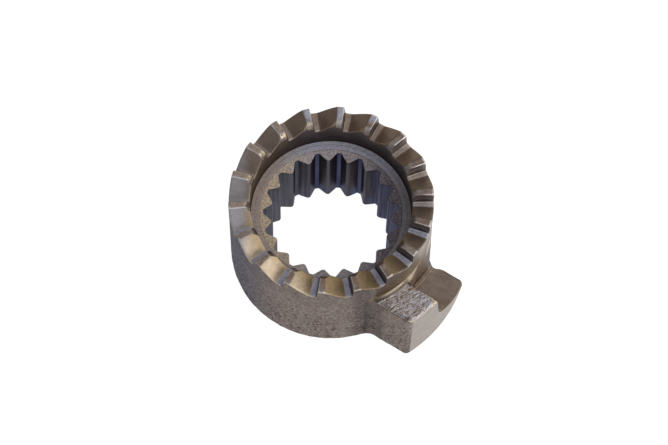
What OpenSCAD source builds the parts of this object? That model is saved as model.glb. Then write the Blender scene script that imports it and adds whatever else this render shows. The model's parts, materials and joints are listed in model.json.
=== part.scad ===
// Kickstarter ratchet gear, forged and machined from one piece of steel.
// A ring carries sawtooth ratchet teeth on its top face and a spline in its
// bore. One arm on its side has a stop face and a cam ramp.
// Millimetres. Z is the axis of the shaft, and the bottom face is at z = 0.

/* [Ring] */
// Outside diameter of the turned rim
rim_d = 36; // [33:0.5:42]
// Height of the tooth crests above the bottom face
ring_h = 21.2; // [20.4:0.1:26]
// Width of the chamfer round the bottom face, outside
foot_break = 0.5; // [0.2:0.1:1.2]

/* [Ratchet teeth] */
// Number of teeth
tooth_n = 18; // [12:1:24]
// Height of a tooth from its valley to its crest
tooth_h = 2.2; // [1.2:0.1:2.8]
// Angle that a flat crest takes, in degrees
crest_deg = 4; // [2:0.5:6]
// Angle that a flat valley takes, in degrees
valley_deg = 4; // [2:0.5:6]
// How far a tooth's back swells at its top and hollows at its foot, as a share of its height
back_curve = 0.03; // [0:0.01:0.06]
// Angle by which the foot of a driving face lies back from its edge
lean_deg = 0.8; // [0.2:0.1:1.6]
// Direction of the edge of the first driving face
tooth_start = 84; // [0:1:120]
// Width of the chamfer that clips the inner ends of the crests
crest_break = 1; // [0.3:0.1:1.4]

/* [Counterbore] */
// Diameter of the turned recess above the spline
recess_d = 28.56; // [27:0.02:30]
// Depth of the recess below the tooth valleys
recess_depth = 4.1; // [2.5:0.1:5]
// Diameter at which the flat floor of the recess ends
floor_d = 25.3; // [24.8:0.1:26]
// Depth of the fine step at the inner edge of that floor
floor_step = 0.12; // [0.05:0.01:0.4]
// Slope of the cone that leads in to the spline, in degrees
lead_deg = 14; // [5:1:25]

/* [Spline] */
// Number of grooves
spline_n = 19; // [14:1:24]
// Diameter at the bottom of the grooves
groove_d = 24; // [23.4:0.1:24.4]
// Diameter over the tips of the teeth
tip_d = 21.2; // [20.4:0.1:21.8]
// Width of the flat bottom of a groove
groove_w = 0.7; // [0.3:0.1:1]
// Width of the flat tip of a tooth
tip_w = 0.6; // [0.3:0.1:1]
// Direction of the middle of the first groove
groove_start = -10.4; // [-20:0.1:20]
// Chamfer on the tips where the spline meets the bottom face
spline_break = 0.5; // [0.2:0.1:1]

/* [Arm] */
// Direction in which the arm points, in degrees
arm_deg = -31; // [-60:1:0]
// How far the arm reaches out from the rim
arm_reach = 6.95; // [5:0.05:10]
// Distance from the axis out to the forged side of the arm, at the bottom
arm_near = 10.45; // [9.4:0.05:12]
// Distance from the axis out to the low side, where the ramp ends
arm_far = 7.05; // [5:0.05:9]
// Draft of the forged side, in degrees
side_draft = 1; // [0:0.5:3]
// Chamfer on the two upright corners of the arm
corner_break = 0.6; // [0.2:0.1:1]
// Height of the top of the stop block
block_h = 14.9; // [13:0.1:16.5]
// Radius on the long upper edge of the block
block_round = 1; // [0.4:0.1:1.6]

/* [Stop and ramp] */
// Distance from the axis to the top edge of the stop face
stop_off = 4.1; // [3:0.1:5.5]
// Draft of the stop face, in degrees
stop_draft = 6.5; // [2:0.5:10]
// Radius of the hollow between the stop face and the ramp
stop_fillet = 1.5; // [0.8:0.1:2.5]
// Slope of the cam ramp, in degrees
ramp_deg = 35; // [25:1:38]
// Height of the thin end of the ramp
ramp_end_h = 0.3; // [0.2:0.1:1.5]

/* [Blends] */
// Radius of the hollow between the ring and the forged side
side_fillet = 3; // [1.5:0.1:4]
// Radius of the hollow between the ring and the low side
far_fillet = 1.2; // [0.8:0.1:2.5]
// How far the root of the arm stands out from the rim, along the arm
root_proud = 0.35; // [0.2:0.05:0.6]
// Height of the ledge on the root, beside the stop block
root_h = 14.4; // [12:0.1:15.5]
// Distance past the stop face at which that root has run out into the rim
root_len = 4.9; // [3:0.1:6]
// Length of the last stretch of the root, which slants back into the rim
root_slant = 2; // [0.5:0.1:2.5]
// Radius of the hollow between the turned rim and the ledges below it
ledge_fillet = 0.6; // [0.2:0.1:0.8]
// Height above the ramp of the foot that joins it to the rim
foot_h = 0.6; // [0.5:0.1:1.2]
// Width of the small bevel along the foot
foot_bevel = 0.35; // [0.2:0.05:0.45]

/* [Hidden] */
$fn = 128;
// Spare length by which a cut runs past the face that it opens
cut = 1;
// How deep the end of a blend reaches into the solid that carries it
sink = 0.1;
// Steps that a ramp or a small arc is divided into
ramp_steps = 6;
arc_steps = 8;

rim_r = rim_d / 2;
recess_r = recess_d / 2;
floor_r = floor_d / 2;
groove_r = groove_d / 2;
tip_r = tip_d / 2;
valley_z = ring_h - tooth_h;
floor_z = valley_z - recess_depth;
pitch_deg = 360 / tooth_n;
ramp_span_deg = pitch_deg - crest_deg - valley_deg - lean_deg;
end_r = rim_r + arm_reach;
// Distance along the arm at which the milled ramp begins
ramp_start = rim_r + root_proud;
// Height that the line of the ramp has at the middle of the arm
ramp_mid = ramp_end_h + arm_far * tan(ramp_deg);
// The arm starts inside the wall of the ring
arm_inner = sqrt(pow(rim_r, 2) - pow(arm_near, 2)) - cut;
steel = [0.47, 0.44, 0.41];

// Points on an arc from angle a to angle b
function arc(cx, cy, r, a, b, n = arc_steps) =
    [for (i = [0:n]) let (t = a + (b - a) * i / n) [cx + r * cos(t), cy + r * sin(t)]];

// Height of a tooth's back at the share t of the way from crest to valley
function back_z(t) = ring_h - tooth_h * (t - back_curve * sin(360 * t));

// Point at radius r, angle a and height z
function polar(r, a, z) = [r * cos(a), r * sin(a), z];

// The ring before its teeth and bores are cut
module blank() {
    rotate_extrude()
        polygon([
            [0, 0],
            [rim_r - foot_break, 0],
            [rim_r, foot_break],
            [rim_r, ring_h],
            [0, ring_h]
        ]);
}

// The space above one tooth's sloping back and its valley, up to the next driving face
module tooth_gap() {
    in_r = recess_r - cut;
    out_r = rim_r + cut;
    top = ring_h + cut;
    step = ramp_span_deg / ramp_steps;
    // The first strip starts above the crest and crosses its plane at crest_deg
    floor_line = concat(
        [[crest_deg - step, 2 * ring_h - back_z(1 / ramp_steps)]],
        [for (i = [1:ramp_steps]) [crest_deg + step * i, back_z(i / ramp_steps)]],
        [[pitch_deg - lean_deg, valley_z]]
    );
    last = len(floor_line) - 1;
    points = [
        for (i = [0:last]) let (a = floor_line[i][0], z = floor_line[i][1])
            each [
                polar(in_r, a, z),
                polar(out_r, a, z),
                polar(out_r, i == last ? pitch_deg + lean_deg * cut / tooth_h : a, top),
                polar(in_r, i == last ? pitch_deg + lean_deg * cut / tooth_h : a, top)
            ]
    ];
    sides = [
        for (i = [0:last - 1], k = [0:3]) let (
            a = 4 * i + k,
            b = 4 * i + (k + 1) % 4
        ) each [[a, b, b + 4], [a, b + 4, a + 4]]
    ];
    e = 4 * last;
    polyhedron(points, concat([[0, 2, 1], [0, 3, 2], [e, e + 1, e + 2], [e, e + 2, e + 3]], sides));
}

// All the gaps between the teeth, and the cone that clips the crests
module tooth_cuts() {
    for (i = [0:tooth_n - 1])
        rotate([0, 0, tooth_start + pitch_deg * i]) tooth_gap();
    rotate_extrude()
        polygon([
            [0, ring_h - crest_break - cut],
            [recess_r - cut, ring_h - crest_break - cut],
            [recess_r + crest_break + cut, ring_h + cut],
            [0, ring_h + cut]
        ]);
}

// The turned recess, its flat floor and the cone that leads in to the spline
module recess() {
    translate([0, 0, floor_z]) cylinder(r = recess_r, h = ring_h);
    rotate_extrude()
        polygon([
            [0, floor_z - floor_step - floor_r * tan(lead_deg)],
            [floor_r, floor_z - floor_step],
            [floor_r, floor_z + cut],
            [0, floor_z + cut]
        ]);
}

// The splined bore, right through, with its tips chamfered at the bottom
module spline_bore() {
    groove_pitch = 360 / spline_n;
    half_groove = asin(groove_w / 2 / groove_r);
    half_tip = groove_pitch / 2 - asin(tip_w / 2 / tip_r);
    inner_r = tip_r - cut / 2;
    depth = ring_h + 2 * cut;
    // Each flank runs on past the tip, so that the tips stay round
    run = cut / 2 / (groove_r - tip_r);
    half_inner = half_tip + (half_tip - half_groove) * run;
    translate([0, 0, -cut]) {
        cylinder(r = tip_r, h = depth);
        for (i = [0:spline_n - 1])
            rotate([0, 0, groove_start + groove_pitch * i])
                linear_extrude(height = depth)
                    polygon([
                        [inner_r * cos(half_inner), -inner_r * sin(half_inner)],
                        [groove_r * cos(half_groove), -groove_r * sin(half_groove)],
                        [groove_r * cos(half_groove), groove_r * sin(half_groove)],
                        [inner_r * cos(half_inner), inner_r * sin(half_inner)]
                    ]);
    }
    rotate_extrude()
        polygon([
            [0, -cut],
            [tip_r + spline_break + cut, -cut],
            [tip_r + spline_break - cut, cut],
            [0, cut]
        ]);
}

// Section of the arm across its length: forged side, block, stop face and ramp
module arm_section() {
    ramp_slope = tan(ramp_deg);
    stop_slope = tan(stop_draft);
    hollow_n = (-stop_off + (block_h - ramp_mid - stop_fillet / cos(ramp_deg)) * stop_slope
        + stop_fillet / cos(stop_draft)) / (1 - ramp_slope * stop_slope);
    hollow_z = ramp_mid - hollow_n * ramp_slope + stop_fillet / cos(ramp_deg);
    side_top = -arm_near + (block_h - block_round) * tan(side_draft);
    polygon(concat(
        [[-arm_near + foot_break, 0], [arm_far, 0], [arm_far, ramp_end_h]],
        arc(hollow_n, hollow_z, stop_fillet, 270 - ramp_deg, 180 + stop_draft),
        [[-stop_off, block_h]],
        arc(side_top + block_round, block_h - block_round, block_round, 90, 180),
        [[-arm_near, foot_break]]
    ));
}

// The arm, cut round at its end with the axis as centre
module arm() {
    near_corner = asin(arm_near / end_r);
    far_corner = asin(arm_far / end_r);
    rotate([0, 0, arm_deg])
        difference() {
            intersection() {
                translate([arm_inner, 0, 0]) rotate([90, 0, 90])
                    linear_extrude(height = end_r) arm_section();
                cylinder(r = end_r, h = ring_h);
            }
            corner_cut(-near_corner);
            corner_cut(far_corner);
        }
}

// A flat across an upright corner of the arm that lies in direction a
module corner_cut(a) {
    tilt = ((a < 0 ? -90 : 90) - a) / 2;
    rotate([0, 0, a]) translate([end_r, 0, -cut]) rotate([0, 0, tilt])
        translate([-corner_break / 2, -block_h / 2, 0])
            cube([block_h, block_h, block_h + 2 * cut]);
}

// Plan of a hollow of radius r between the rim and a side of the arm at offset n
module hollow(n, r) {
    away = n < 0 ? -1 : 1;
    centre = [sqrt(pow(rim_r + r, 2) - pow(n + away * r, 2)), n + away * r];
    rim_point = centre * rim_r / (rim_r + r);
    wall_point = centre * (rim_r - cut) / (rim_r + r);
    difference() {
        polygon([wall_point, rim_point, [centre[0], n], [centre[0], n - away * r]]);
        translate(centre) circle(r = r);
    }
}

// A ledge round the rim at height z, with a hollow up to the turned face above it
module ledge(z) {
    rotate_extrude()
        polygon(concat(
            [[0, 0], [end_r, 0], [end_r, z]],
            arc(rim_r + ledge_fillet, z + ledge_fillet, ledge_fillet, 270, 180),
            [[0, z + ledge_fillet]]
        ));
}

// The ledges over the root of the arm: beside the block, and where the block joins the rim
module ledges() {
    inner_n = -arm_near + block_round + block_h * tan(side_draft);
    root_end = -stop_off + root_len;
    intersection() {
        ledge(root_h);
        linear_extrude(height = ring_h)
            polygon([
                [arm_inner, -stop_off - cut],
                [ramp_start, -stop_off - cut],
                [ramp_start, root_end - root_slant],
                [sqrt(pow(rim_r, 2) - pow(root_end, 2)) - sink, root_end],
                [arm_inner, root_end]
            ]);
    }
    intersection() {
        ledge(block_h);
        translate([arm_inner, inner_n, 0])
            cube([ramp_start + ledge_fillet - arm_inner, -stop_off - inner_n, ring_h]);
    }
}

// The foot between the rim and the ramp, straight along its outer edge
module ramp_foot() {
    slant = (arm_far + stop_off) / cos(ramp_deg);
    intersection() {
        translate([0, arm_far, ramp_end_h]) rotate([-ramp_deg, 0, 0])
            translate([0, cut, 0]) rotate([90, 0, 0])
                linear_extrude(height = slant + cut)
                    polygon([
                        [arm_inner, -cut],
                        [ramp_start, -cut],
                        [ramp_start, 0],
                        [ramp_start - foot_bevel, foot_bevel],
                        [rim_r - foot_h, foot_h],
                        [arm_inner, foot_h]
                    ]);
        translate([arm_inner, -arm_near, 0]) cube([rim_r, arm_near + arm_far, ring_h]);
    }
}

// What joins the arm to the ring: hollows at both sides, ledges and the foot of the ramp
module arm_root() {
    rotate([0, 0, arm_deg]) {
        linear_extrude(height = block_h - block_round) hollow(-arm_near, side_fillet);
        linear_extrude(height = ramp_end_h) hollow(arm_far, far_fillet);
        ledges();
        ramp_foot();
    }
}

module ratchet_gear() {
    color(steel)
        difference() {
            union() {
                blank();
                arm();
                arm_root();
            }
            tooth_cuts();
            recess();
            spline_bore();
        }
}

ratchet_gear();
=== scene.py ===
"""Kickstarter ratchet gear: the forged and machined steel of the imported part, on a pale floor."""

import json
from math import asin, atan2, cos, degrees, pi, radians, sin, sqrt, tan

import bmesh
import bpy
import numpy as np
from mathutils import Matrix, Vector, noise


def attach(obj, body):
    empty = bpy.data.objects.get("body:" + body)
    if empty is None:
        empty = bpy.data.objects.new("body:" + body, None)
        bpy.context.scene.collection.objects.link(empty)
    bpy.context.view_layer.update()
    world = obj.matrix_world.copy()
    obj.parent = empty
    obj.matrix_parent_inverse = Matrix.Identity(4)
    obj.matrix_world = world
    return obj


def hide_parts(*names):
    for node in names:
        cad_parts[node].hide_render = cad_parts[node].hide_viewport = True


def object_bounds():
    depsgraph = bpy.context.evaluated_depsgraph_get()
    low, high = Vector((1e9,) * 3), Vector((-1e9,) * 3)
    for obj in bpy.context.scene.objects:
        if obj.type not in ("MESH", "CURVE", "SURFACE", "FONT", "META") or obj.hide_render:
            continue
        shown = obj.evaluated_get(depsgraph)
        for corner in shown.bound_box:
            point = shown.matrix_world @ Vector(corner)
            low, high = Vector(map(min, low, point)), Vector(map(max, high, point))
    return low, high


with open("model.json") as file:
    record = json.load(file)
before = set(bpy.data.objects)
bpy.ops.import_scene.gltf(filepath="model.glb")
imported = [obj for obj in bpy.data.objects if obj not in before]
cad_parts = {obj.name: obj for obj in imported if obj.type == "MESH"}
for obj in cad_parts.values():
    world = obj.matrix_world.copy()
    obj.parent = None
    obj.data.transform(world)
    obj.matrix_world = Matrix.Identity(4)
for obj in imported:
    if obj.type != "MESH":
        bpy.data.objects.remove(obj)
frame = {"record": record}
cad_box = [list(corner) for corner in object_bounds()]

# Everything below is in millimetres and degrees until a mesh is made
MM = 0.001
mounts = {m["name"]: m for m in frame["record"]["mounts"]}

# Ring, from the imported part
RIM_R = -cad_box[0][0] / MM
RING_H = cad_box[1][2] / MM
RECESS_R = mounts["recess"]["dims"]["r_mm"]
TIP_R = mounts["shaft_spline"]["dims"]["r_mm"]
LEAD_H = 0.8
FLOOR_Z = mounts["shaft_spline"]["dims"]["length_mm"] + LEAD_H
FOOT_BREAK = 0.5

# Ratchet teeth
TOOTH_N = 18
PITCH = 360 / TOOTH_N
TOOTH_H = 2.2
CREST_DEG = 4
BACK_DEG = 11.2
LEAN_DEG = 0.8
TOOTH_START = 84
BACK_CURVE = 0.01
CREST_BREAK = 1.0
BREAK_FADE = 1.7
EDGE = 0.13

# Floor of the recess, cone and spline
FLOOR_R = 12.65
FLOOR_STEP = 0.12
LEAD_DEG = 14
SPLINE_N = 19
GROOVE_R = 12.0
GROOVE_W = 0.7
TIP_W = 0.42
GROOVE_START = -10.4
SPLINE_BREAK = 0.08

# Arm: u runs along it, n across it, and R is the distance from the axis
ARM_DEG = -31
END_R = 24.95
NEAR_N = -10.45
FAR_N = 7.05
BLOCK_H = 14.9
BLOCK_ROUND = 1.0
WRINKLE_TURN = 21
SIDE_DRAFT = 1.0
STOP_N = -4.1
STOP_DRAFT = 6.5
STOP_FILLET = 4.4
RAMP_DEG = 35
RAMP_END_H = 0.3
SIDE_HOLLOW = 3.05
SIDE_HOLLOW_AXIS = (16.13, -13.45)
LEDGE_Z = 14.4
LEDGE_FILLET = 0.6
CORNER_R = 0.7
ROOT_Z = 0.45
HOLLOW_FROM_N = -5
WAIST_FROM_N = 4.5
WAIST_U = 18.1
WAIST_LENGTH = 0.95
WAIST_DEPTH = 0.53
LIP_U = 18.42
LIP_BEND = 0.012
LIP_GAP = 0.37


def smooth(t):
    """0 below 0, 1 above 1, and a soft step between."""
    t = np.clip(t, 0.0, 1.0)
    return t * t * (3 - 2 * t)


def lerp(a, b, t):
    return a + (b - a) * t


class Shell:
    """Vertices and faces of one closed mesh, each face with the name of its material."""

    def __init__(self):
        self.points, self.faces, self.names = [], [], []

    def add_points(self, points):
        first = len(self.points)
        self.points.extend(np.asarray(points, float).reshape(-1, 3).tolist())
        return list(range(first, len(self.points)))

    def add_face(self, face, name):
        self.faces.append(tuple(int(i) for i in face))
        self.names.append(name)

    def band(self, low, high, names):
        """Quads between two closed loops of as many points, with one name or one for each quad."""
        count = len(low)
        for i in range(count):
            j = (i + 1) % count
            name = names if isinstance(names, str) else names[i]
            self.add_face((low[i], low[j], high[j], high[i]), name)

    def zip_loops(self, first, first_at, second, second_at, name):
        """Triangles between two closed loops that hold different numbers of points, ordered by angle."""
        i = j = 0
        while i < len(first) or j < len(second):
            next_i = first_at[i + 1] if i + 1 < len(first) else first_at[0] + 360
            next_j = second_at[j + 1] if j + 1 < len(second) else second_at[0] + 360
            a, b = first[i % len(first)], second[j % len(second)]
            if j >= len(second) or (i < len(first) and next_i <= next_j):
                self.add_face((a, first[(i + 1) % len(first)], b), name)
                i += 1
            else:
                self.add_face((a, second[(j + 1) % len(second)], b), name)
                j += 1


# Ring

def tooth_stations():
    """Angles round the ring, the height of the tooth surface there, and the zone that follows."""
    driving_edge = [(0.0, -0.11), (0.13, -0.04), (0.36, 0.0)]
    crest = [(a, 0.0) for a in np.linspace(0.62, CREST_DEG - 0.35, 5)]
    shares = np.linspace(0, 1, 13)
    back = [(CREST_DEG + BACK_DEG * t, -TOOTH_H * (t - BACK_CURVE * sin(2 * pi * t))) for t in shares]
    blunt = 0.035
    back[0] = (back[0][0], -blunt)
    back[-1] = (back[-1][0], blunt - TOOTH_H)
    foot = PITCH - LEAN_DEG
    valley = [(a, -TOOTH_H) for a in np.linspace(CREST_DEG + BACK_DEG + 0.4, foot - 0.45, 5)]
    corner = [(foot - 0.2, -TOOTH_H + 0.03), (foot - 0.06, -TOOTH_H + 0.11), (foot + 0.02, -TOOTH_H + 0.24)]
    face = [(foot + LEAN_DEG * t, -TOOTH_H * (1 - t)) for t in (0.25, 0.42, 0.6, 0.77, 0.9)]
    tooth = np.array(driving_edge + crest + back + valley + corner + face)
    angles = np.concatenate([TOOTH_START + PITCH * k + tooth[:, 0] for k in range(TOOTH_N)])
    heights = np.tile(RING_H + tooth[:, 1], TOOTH_N)
    zones = ["crest"] * (len(driving_edge) + len(crest)) + ["back"] * len(back) + ["valley"] * len(valley)
    zones += ["driving"] * (len(corner) + len(face))
    return angles, heights, zones * TOOTH_N


def spline_stations():
    """Angles round the bore and the radius of the spline at each of them."""
    pitch = 360 / SPLINE_N
    half_groove = degrees(asin(GROOVE_W / 2 / GROOVE_R))
    half_tip = pitch / 2 - degrees(asin(TIP_W / 2 / TIP_R))

    def at(r, a):
        return Vector((r * cos(radians(a)), r * sin(radians(a))))

    tip, groove = at(TIP_R, half_tip), at(GROOVE_R, half_groove)
    tip_mid, groove_mid = at(TIP_R, pitch / 2), at(GROOVE_R, 0)
    run = 0.06

    def rounded(before, corner, after):
        a = corner + (before - corner).normalized() * run
        b = corner + (after - corner).normalized() * run
        return [a.lerp(corner, t).lerp(corner.lerp(b, t), t) for t in (0, 0.35, 0.65, 1)]

    half = [groove_mid] + rounded(groove_mid, groove, tip)
    half += [groove.lerp(tip, t) for t in (0.3, 0.5, 0.7)]
    half += rounded(groove, tip, tip_mid) + [tip_mid]
    whole = [Vector((p.x, -p.y)) for p in reversed(half[1:-1])] + half
    angles = np.array([degrees(atan2(p.y, p.x)) for p in whole])
    radii = np.array([p.length for p in whole])
    at_all = np.concatenate([GROOVE_START + pitch * k + angles for k in range(SPLINE_N)])
    return at_all, np.tile(radii, SPLINE_N)


def loop(angles, radius, height):
    """Points at those angles, each with its own or one shared radius and height."""
    a = np.radians(angles)
    r = np.broadcast_to(radius, a.shape)
    return np.column_stack([r * np.cos(a), r * np.sin(a), np.broadcast_to(height, a.shape)])


def skirt_radius(angles, height):
    """The forged skirt is a little wider at its foot above the low side of the arm."""
    flare, middle_deg, half_deg, flare_top = 0.27, -8, 26, 15
    near_ramp = smooth(1 - np.abs((angles - middle_deg + 180) % 360 - 180) / half_deg)
    return RIM_R + flare * near_ramp * np.clip(1 - height / flare_top, 0, 1)


def ring_rows(angles, top):
    """Rows of the ring from the bottom face out, up, over the teeth and down to the recess floor."""
    rows = [("bottom", r, 0.0) for r in (13.0, 14.4, 15.9)]
    for a in (0, 22, 45, 68):
        inset, rise = 1 - sin(radians(a)), 1 - cos(radians(a))
        rows.append(("forged", RIM_R - FOOT_BREAK * inset, FOOT_BREAK * rise))
    levels = 50
    for k in range(levels + 1):
        height = lerp(FOOT_BREAK, top - EDGE, k / levels)
        rows.append(("forged", skirt_radius(angles, height), height))
    rows.append(("teeth", RIM_R - 0.3 * EDGE, top - 0.3 * EDGE))
    clip = np.maximum(EDGE, CREST_BREAK - BREAK_FADE * (RING_H - top))
    for t in np.linspace(0, 1, 11):
        rows.append(("teeth", lerp(RIM_R - EDGE, RECESS_R + clip + 0.12, t), top))
    for out, down in ((0.93, 0.03), (0.5, 0.42), (0.06, 0.9)):
        rows.append(("teeth", RECESS_R + clip * out, top - clip * down))
    lip = top - clip - 0.08
    corner = 0.15
    for t in np.linspace(0, 1, 9):
        rows.append(("recess", RECESS_R, lerp(lip, FLOOR_Z + corner, t)))
    rows.append(("recess", RECESS_R - corner * 0.3, FLOOR_Z + corner * 0.3))
    for r in np.linspace(RECESS_R - corner, FLOOR_R + 0.05, 6):
        rows.append(("floor", r, FLOOR_Z))
    rows.append(("floor", FLOOR_R, FLOOR_Z - FLOOR_STEP * 0.5))
    rows.append(("cone", FLOOR_R - 0.03, FLOOR_Z - FLOOR_STEP))
    return rows


def spline_rows(radii):
    """Rows of the spline from the cone down to the bottom face."""
    fall = tan(radians(LEAD_DEG))
    outer, bevel = FLOOR_R - 0.12, 0.09
    straight_end, bottom_r = 0.55, 12.45
    start_z = FLOOR_Z - FLOOR_STEP

    def cone_z(r):
        return start_z - (FLOOR_R - r) * fall

    rows = []
    for t in np.linspace(0, 1, 7):
        r = lerp(outer, radii + bevel, t)
        rows.append(("cone", r, cone_z(r)))
    edge_z = cone_z(radii) - bevel
    rows.append(("spline", radii + bevel * 0.3, cone_z(radii) - bevel * 0.3))
    for t in np.linspace(0, 1, 22):
        rows.append(("spline", radii, lerp(edge_z, straight_end, t)))
    for z in (0.42, 0.3, 0.18, 0.07, 0.0):
        rows.append(("spline", np.maximum(radii, TIP_R + SPLINE_BREAK - z), z))
    rows[-1] = ("bottom",) + rows[-1][1:]
    widest = rows[-1][1]
    for t in (0.35, 1):
        rows.append(("bottom", lerp(widest, bottom_r, t), 0.0))
    return rows


def add_rows(shell, angles, rows, tooth_zones=None):
    """Bands of faces through the rows. A row named teeth takes its zones from the stations."""
    loops = [shell.add_points(loop(angles, r, z)) for _, r, z in rows]
    for (name, _, _), low, high in zip(rows, loops, loops[1:]):
        shell.band(low, high, tooth_zones if name == "teeth" else name)
    return loops[0], loops[-1]


def ring_shell():
    """The ring with its teeth, recess and spline, as one closed mesh."""
    shell = Shell()
    angles, top, zones = tooth_stations()
    first, last = add_rows(shell, angles, ring_rows(angles, top), zones)
    spline_at, radii = spline_stations()
    inner_first, inner_last = add_rows(shell, spline_at, spline_rows(radii))
    turn = int(np.argmin(np.abs((spline_at - angles[0] + 180) % 360 - 180)))
    order = list(range(turn, len(spline_at))) + list(range(turn))
    at = (spline_at[order] - angles[0] + 180) % 360 - 180
    at[1:] = np.where(at[1:] < at[0], at[1:] + 360, at[1:])
    at += angles[0]
    shell.zip_loops(last, angles, [inner_first[i] for i in order], at, "cone")
    shell.zip_loops(first, angles, [inner_last[i] for i in order], at, "bottom")
    return shell


# Arm

def top_path():
    """Points (n, z) and the zone of each over the arm: side rounding, block, stop face, hollow, ramp."""
    slope, lean = tan(radians(RAMP_DEG)), tan(radians(STOP_DRAFT))
    ramp_mid = RAMP_END_H + FAR_N * slope
    rise = STOP_FILLET / cos(radians(RAMP_DEG))
    beside = STOP_N + (BLOCK_H - ramp_mid - rise) * lean + STOP_FILLET / cos(radians(STOP_DRAFT))
    fillet_n = beside / (1 - slope * lean)
    fillet_z = ramp_mid - fillet_n * slope + rise
    side_top = NEAR_N + (BLOCK_H - BLOCK_ROUND) * tan(radians(SIDE_DRAFT))
    path, zones = [], []

    def put(n, z, zone):
        path.append((n, z))
        zones.append(zone)

    def on_fillet(angle):
        a = radians(angle)
        return fillet_n + STOP_FILLET * cos(a), fillet_z + STOP_FILLET * sin(a)

    for a in np.linspace(180, 97, 8):
        out, down = 1 + cos(radians(a)), 1 - sin(radians(a))
        put(side_top + BLOCK_ROUND * out, BLOCK_H - BLOCK_ROUND * down, "forged" if a > 150 else "block")
    for n in np.linspace(side_top + BLOCK_ROUND, STOP_N - 0.3, 21):
        put(n, BLOCK_H, "block")
    put(STOP_N - 0.12, BLOCK_H - 0.03, "block")
    put(STOP_N - 0.01, BLOCK_H - 0.14, "milled")
    start, end = 180 + STOP_DRAFT, 270 - RAMP_DEG
    foot_n, foot_z = on_fillet(start)
    for t in np.linspace(0.05, 0.97, 20):
        put(lerp(STOP_N, foot_n, t), lerp(BLOCK_H, foot_z, t), "milled")
    for a in np.linspace(start, end, 9):
        put(*on_fillet(a), "milled")
    for n in np.linspace(path[-1][0], FAR_N, 34)[1:]:
        put(n, RAMP_END_H + (FAR_N - n) * slope, "milled")
    return np.array(path), zones


def side_path():
    """Points (n, z) up the forged side of the arm."""
    foot = 0.4
    low = [(NEAR_N + foot * (1 - sin(radians(a))), foot * (1 - cos(radians(a)))) for a in (0, 25, 50, 72)]
    high = [(NEAR_N + z * tan(radians(SIDE_DRAFT)), z) for z in np.linspace(foot, BLOCK_H - BLOCK_ROUND, 38)]
    return np.array(low + high)


def far_edge(u):
    """Distance n of the low side's edge, with the waist that it has beside the ring."""
    bulge = 0.08
    return FAR_N + bulge - WAIST_DEPTH * np.exp(-(((u - WAIST_U) / WAIST_LENGTH) ** 2))


def hollow_n(radius):
    """Distance n of the forged side where its hollow runs into the ring."""
    hollow_end_r = 19.25
    centre_u, centre_n = SIDE_HOLLOW_AXIS
    centre_r = sqrt(centre_u ** 2 + centre_n ** 2)
    turn = (radius ** 2 + centre_r ** 2 - SIDE_HOLLOW ** 2) / (2 * radius * centre_r)
    angle = atan2(centre_n, centre_u) + np.arccos(np.clip(turn, -1, 1))
    return np.where(radius < hollow_end_r, radius * np.sin(angle), NEAR_N)


def root_levels(path, n):
    """Levels from inside the ring out to the lip: distance from the axis, top, and lift at the near side."""
    tilt = np.radians([75, 60, 45, 30, 15, 0])
    block_r = np.concatenate([[16.6, 17.9], RIM_R + LEDGE_FILLET * (1 - np.sin(tilt))])
    block_lift = np.concatenate([[1.3, 0.95], LEDGE_FILLET * (1 - np.cos(tilt))])
    ledge_lift = [1.5, 1.0, 0.72, 0.52, 0.45, 0.40, 0.04, 0.0]
    fillet_lift = [3.4, 3.0, 2.6, 1.7, 0.7, 0.14, 0.02, 0.0]
    wall = np.sqrt(np.maximum(RIM_R ** 2 - n ** 2, 0))
    lip = LIP_U - LIP_BEND * n ** 2
    inner_lip = np.maximum(lip - LIP_GAP, wall + 0.16)
    off_wall = wall + 0.1
    halfway = lerp(off_wall, inner_lip, 0.5)
    ramp_u = [wall - 1.4, wall - 0.2, wall, off_wall, halfway, inner_lip, lip - 0.05, lip]
    across, top = path[:, :1], path[:, 1:]
    on_ramp = smooth((across - STOP_N) / 0.8)
    far_out = smooth((across - 1.0) / 5.0)
    plane = RAMP_END_H + (FAR_N - across) * tan(radians(RAMP_DEG))
    share = smooth((across - NEAR_N) / 1.1) * 0.7 + 0.3
    levels = []
    for k in range(len(block_r)):
        radius = lerp(block_r[k], np.sqrt(ramp_u[k] ** 2 + n ** 2), on_ramp)
        over_ramp = np.maximum(top, plane + lerp(ledge_lift[k], fillet_lift[k], far_out))
        lift = block_lift[k] * share
        levels.append((radius, lerp(top + lift, over_ramp, on_ramp), lift[0]))
    return levels


def end_corners(across, up):
    """How far the corner of the arm's end is cut back at each point, and how far its top drops."""
    on_block = across < STOP_N
    at_near = smooth(1 - (across - NEAR_N) / 1.2)
    at_far = smooth((across - 5.6) / 1.45)
    foot = 0.3
    cut = lerp(lerp(np.where(on_block, 0.6, 0.26), CORNER_R, at_near), CORNER_R, at_far)
    inset = np.tile(cut[:, None], (1, len(up)))
    inset[:, 0] = foot
    inset[0] = lerp(foot, CORNER_R, smooth(up / 1.5))
    inset[-1] = CORNER_R
    return inset, lerp(np.where(on_block, 0.45, 0.2), 0.3, at_near)


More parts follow.
